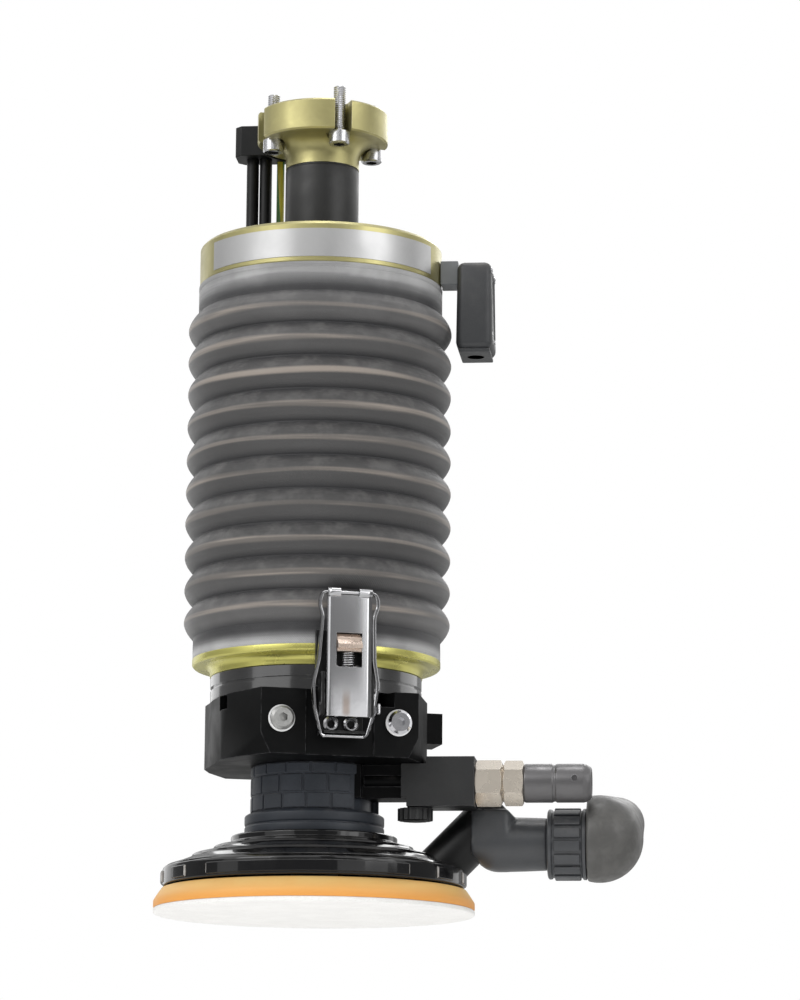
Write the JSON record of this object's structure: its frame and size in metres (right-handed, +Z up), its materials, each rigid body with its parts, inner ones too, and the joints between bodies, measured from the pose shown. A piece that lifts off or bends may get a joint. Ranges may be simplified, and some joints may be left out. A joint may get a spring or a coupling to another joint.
{
  "type": "active contact flange",
  "caption": "Pneumatic active contact flange with bellows-covered stroke and quick-latched random-orbit sander, hung from a robot wrist adapter.",
  "frame": {"origin": "centre of the adapter's upper face, where it meets the robot's tool flange", "axes": "+Z up into the robot, +X to the viewer's right as in the picture, +Y away from the viewer"},
  "size_m": [0.2284, 0.15, 0.3943],
  "materials": {
    "anodised_olive": "satin anodised",
    "anodised_lime": "satin anodised",
    "column_black": "satin",
    "label_silver": "satin film, left bare",
    "bellows_grey": "coated fabric",
    "machined_aluminium": "machined",
    "steel": "ground",
    "stainless": "polished",
    "chrome": "bright",
    "nickel": "nickel plated",
    "black_metal": "black anodised",
    "black_plastic": "moulded",
    "grey_plastic": "moulded",
    "grip_rubber": "matt",
    "line_black": "matt",
    "earth_green": "striped",
    "seal_black": "matt",
    "bush_bronze": "sintered",
    "board_green": "lacquered",
    "valve_grey": "moulded",
    "pad_orange": "foam",
    "abrasive_white": "coated"
  },
  "bodies": {
    "upper": {"robot_adapter": "anodised_olive", "adapter_screws": "steel", "spacer_column": "column_black", "top_cover": "anodised_olive", "label_band": "label_silver", "upper_bellows_clamp": "machined_aluminium", "bellows": "bellows_grey", "line_clamp": "black_plastic", "air_lines": "line_black", "earth_lead": "earth_green", "push_in_fittings": "black_plastic", "junction_box": "black_plastic", "junction_bracket": "black_plastic", "cylinder_tube": "machined_aluminium", "cylinder_end_cap": "machined_aluminium", "plain_bushes": "bush_bronze", "guide_housing": "machined_aluminium", "control_board": "board_green", "pressure_valve": "valve_grey", "position_sensor": "black_plastic"},
    "carriage": {"lower_flange": "anodised_lime", "guide_shafts": "steel", "piston": "machined_aluminium", "seals": "seal_black", "piston_rod": "steel", "load_cell": "steel", "sensor_rod": "steel", "tool_ring": "black_metal", "clamp_block": "black_metal", "clamp_screws": "steel", "latch_brackets": "black_metal", "carriage_screws": "steel", "latch_pins": "steel", "latch_keepers": "black_metal", "keeper_rivets": "chrome", "sander_housing": "black_metal", "grip_cover": "grip_rubber", "sander_collar": "grip_rubber", "skirt": "black_plastic", "motor_liner": "steel", "motor_bearings": "steel", "valve_block": "black_plastic", "hex_adapter": "nickel", "air_coupling": "grey_plastic", "dust_port": "black_plastic", "dust_tube": "grey_plastic", "dust_cuff": "grey_plastic"},
    "rotor": {"rotor_spindle": "steel"},
    "pad": {"backing_pad": "pad_orange", "abrasive_disc": "abrasive_white"},
    "knob": {"speed_knob": "black_plastic"},
    "elbow": {"dust_elbow": "grey_plastic"},
    "lever_front": {"lever_front": "stainless", "catch_spring_front": "stainless"},
    "bail_front": {"bail_front": "stainless"},
    "catch_front": {"catch_front": "stainless"},
    "lever_rear": {"lever_rear": "stainless", "catch_spring_rear": "stainless"},
    "bail_rear": {"bail_rear": "stainless"},
    "catch_rear": {"catch_rear": "stainless"}
  },
  "joints": [
    {"name": "stroke", "type": "slide", "parent": "upper", "child": "carriage", "axis": [0, 0, 1], "range_m": [0, 0.0355], "deforming": ["bellows"]},
    {"name": "lever_front_open", "type": "hinge", "parent": "carriage", "child": "lever_front", "pos_m": [0.02103, -0.05939, -0.297], "axis": [0.9426, 0.3338, 0], "range_deg": [0, 100]},
    {"name": "bail_front_swing", "type": "hinge", "parent": "lever_front", "child": "bail_front", "pos_m": [0.02245, -0.06339, -0.2454], "axis": [0.9426, 0.3338, 0], "range_deg": [-100, 0]},
    {"name": "catch_front_slide", "type": "slide", "parent": "lever_front", "child": "catch_front", "axis": [0, 0, -1], "range_m": [0, 0.004], "stiffness_N_per_m": 300, "springref_m": -0.003, "deforming": ["catch_spring_front"]},
    {"name": "lever_rear_open", "type": "hinge", "parent": "carriage", "child": "lever_rear", "pos_m": [-0.02103, 0.05939, -0.297], "axis": [-0.9426, -0.3338, 0], "range_deg": [0, 100]},
    {"name": "bail_rear_swing", "type": "hinge", "parent": "lever_rear", "child": "bail_rear", "pos_m": [-0.02245, 0.06339, -0.2454], "axis": [-0.9426, -0.3338, 0], "range_deg": [-100, 0]},
    {"name": "catch_rear_slide", "type": "slide", "parent": "lever_rear", "child": "catch_rear", "axis": [0, 0, -1], "range_m": [0, 0.004], "stiffness_N_per_m": 300, "springref_m": -0.003, "deforming": ["catch_spring_rear"]},
    {"name": "spindle_spin", "type": "hinge", "parent": "carriage", "child": "rotor", "pos_m": [0, 0, -0.33], "axis": [0, 0, 1], "continuous": true},
    {"name": "pad_spin", "type": "hinge", "parent": "rotor", "child": "pad", "pos_m": [0, 0.0025, -0.38], "axis": [0, 0, 1], "continuous": true},
    {"name": "knob_turn", "type": "hinge", "parent": "carriage", "child": "knob", "pos_m": [0.0483, -0.01, -0.34], "axis": [0, 0, -1], "range_deg": [0, 270]},
    {"name": "elbow_swivel", "type": "hinge", "parent": "carriage", "child": "elbow", "pos_m": [0.1273, 0.008, -0.353], "axis": [1, 0, 0], "range_deg": [-90, 15]}
  ],
  "couplings": [
    {"joint": "bail_front_swing", "follows": "lever_front_open", "ratio": -1},
    {"joint": "bail_rear_swing", "follows": "lever_rear_open", "ratio": -1}
  ]
}
